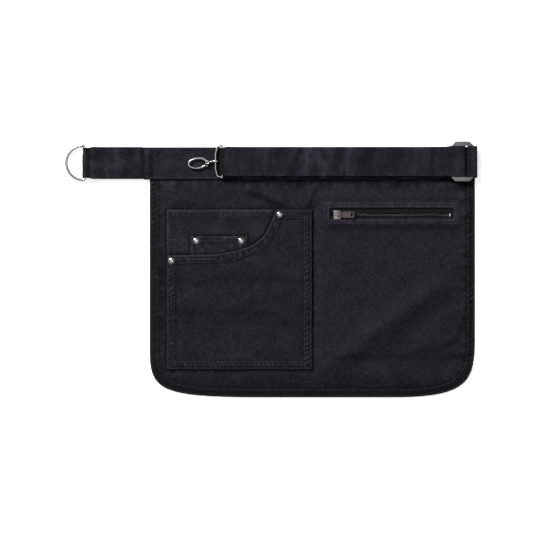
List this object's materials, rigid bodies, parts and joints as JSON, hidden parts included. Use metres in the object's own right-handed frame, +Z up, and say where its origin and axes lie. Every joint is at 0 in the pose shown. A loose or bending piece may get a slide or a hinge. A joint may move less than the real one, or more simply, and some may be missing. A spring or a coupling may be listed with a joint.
{
  "type": "waist apron",
  "caption": "Dark canvas waist apron lying flat: waistband with D-ring tab, strap with snap hook and slider, patch pocket with coin pocket, zip pocket.",
  "frame": {"origin": "middle of the apron's underside, on the surface that it lies on", "axes": "+X along the waistband away from the D-ring, +Y from the hem towards the waistband's top edge, +Z up from the surface, out of the apron's outside"},
  "size_m": [0.5322, 0.3298, 0.0112],
  "materials": {
    "canvas": "matte",
    "zip_cloth": "matte",
    "polished_nickel": "polished",
    "satin_steel": "satin",
    "gunmetal": "satin"
  },
  "bodies": {
    "root": {"apron_panel": "canvas", "waistband": "canvas", "belt_tab": "canvas", "waist_strap": "canvas", "strap_slider": "satin_steel", "pocket_facing": "canvas", "coin_pocket": "canvas", "pocket_front": "canvas", "rivet_coin_left": "polished_nickel", "rivet_coin_right": "polished_nickel", "rivet_opening_left": "polished_nickel", "rivet_opening_right": "polished_nickel", "zip_bag": "canvas", "zip_tape_upper": "zip_cloth", "zip_tape_lower": "zip_cloth", "zip_chain": "gunmetal", "zip_end_stop": "polished_nickel", "zip_slider": "polished_nickel"},
    "ring": {"d_ring": "polished_nickel"},
    "loop": {"hook_loop": "polished_nickel"},
    "hook": {"hook_body": "polished_nickel"},
    "gate": {"hook_gate": "polished_nickel"},
    "puller": {"zip_puller": "gunmetal"}
  },
  "joints": [
    {"name": "ring_flip", "type": "hinge", "parent": "root", "child": "ring", "pos_m": [-0.23904, 0.13767, 0.0037], "axis": [0, 1, 0], "range_deg": [0, 140]},
    {"name": "loop_flip", "type": "hinge", "parent": "root", "child": "loop", "pos_m": [-0.06214, 0.13937, 0.0072], "axis": [0, 1, 0], "range_deg": [0, 140]},
    {"name": "hook_swivel", "type": "hinge", "parent": "loop", "child": "hook", "pos_m": [-0.07144, 0.13937, 0.0072], "axis": [0.9945, 0.1045, 0], "range_deg": [-15, 15]},
    {"name": "gate_hinge", "type": "hinge", "parent": "hook", "child": "gate", "pos_m": [-0.08188, 0.13828, 0.0072], "axis": [0, 0, -1], "range_deg": [0, 25], "stiffness_Nm_per_rad": 0.002, "springref_deg": -17.19},
    {"name": "puller_flip", "type": "hinge", "parent": "root", "child": "puller", "pos_m": [0.08666, 0.07057, 0.0073], "axis": [0, -1, 0], "range_deg": [0, 150]}
  ]
}
